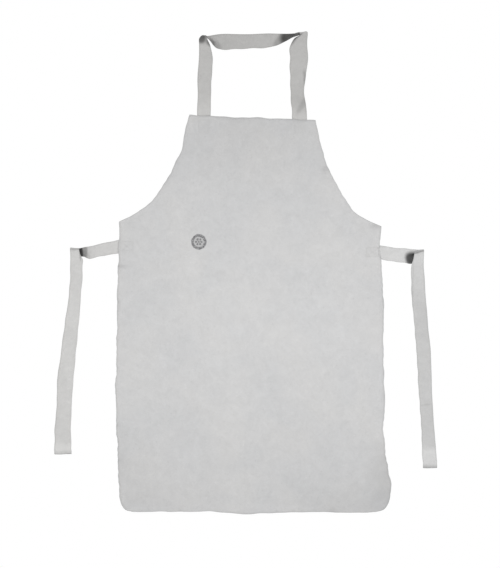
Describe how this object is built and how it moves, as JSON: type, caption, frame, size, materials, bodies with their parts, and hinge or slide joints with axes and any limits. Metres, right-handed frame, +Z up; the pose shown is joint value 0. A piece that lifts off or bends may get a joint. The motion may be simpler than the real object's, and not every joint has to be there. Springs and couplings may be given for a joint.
{
  "type": "apron",
  "caption": "Bib apron cut from one sheet of split leather, with a neck strap and long waist ties, hanging from its neck strap.",
  "frame": {"origin": "middle of the neck strap's top run at its lower edge, where a peg or hook carries the apron", "axes": "+Z up along the hanging panel, +X to the right seen from the front, -Y the way the front of the panel faces"},
  "size_m": [0.8695, 0.0401, 1.0937],
  "materials": {
    "panel_leather": "light grey split leather with a short soft nap, slightly mottled, matt",
    "strap_leather": "light grey split leather cut in strips, a little darker and warmer than the panel, matt",
    "thread": "twisted off-white sewing thread"
  },
  "bodies": {
    "neck_strap": {"neck_strap": "strap_leather"},
    "bib": {"bib_panel": "panel_leather", "neck_strap_left_end": "strap_leather", "neck_strap_right_end": "strap_leather", "neck_left_seam": "thread", "neck_right_seam": "thread", "left_tie_end": "strap_leather", "right_tie_end": "strap_leather", "left_tie_seam": "thread", "right_tie_seam": "thread"},
    "skirt": {"skirt_panel": "panel_leather"},
    "left_arm": {"left_tie_arm": "strap_leather"},
    "right_arm": {"right_tie_arm": "strap_leather"},
    "left_tail": {"left_tie_tail": "strap_leather", "left_tie_tip": "strap_leather", "left_tie_tip_thread": "thread"},
    "right_tail": {"right_tie_tail": "strap_leather", "right_tie_tip": "strap_leather", "right_tie_tip_thread": "thread"}
  },
  "joints": [
    {"name": "bib_swing", "type": "hinge", "parent": "neck_strap", "child": "bib", "pos_m": [0, -0.0027, -0.152], "axis": [-1, 0, 0], "range_deg": [-60, 60]},
    {"name": "skirt_fold", "type": "hinge", "parent": "bib", "child": "skirt", "pos_m": [0, -0.0045, -0.506], "axis": [-1, 0, 0], "range_deg": [-4, 90]},
    {"name": "left_tie_wrap", "type": "hinge", "parent": "bib", "child": "left_arm", "pos_m": [-0.3045, -0.0027, -0.454], "axis": [0, 0, -1], "range_deg": [-60, 100], "stiffness_Nm_per_rad": 0.02},
    {"name": "right_tie_wrap", "type": "hinge", "parent": "bib", "child": "right_arm", "pos_m": [0.2995, -0.0027, -0.466], "axis": [0, 0, 1], "range_deg": [-60, 100], "stiffness_Nm_per_rad": 0.02},
    {"name": "left_tail_lift", "type": "hinge", "parent": "left_arm", "child": "left_tail", "pos_m": [-0.397, -0.0073, -0.457], "axis": [-1, 0, 0], "range_deg": [0, 60]},
    {"name": "right_tail_lift", "type": "hinge", "parent": "right_arm", "child": "right_tail", "pos_m": [0.38, -0.0073, -0.464], "axis": [-1, 0, 0], "range_deg": [0, 60]}
  ]
}
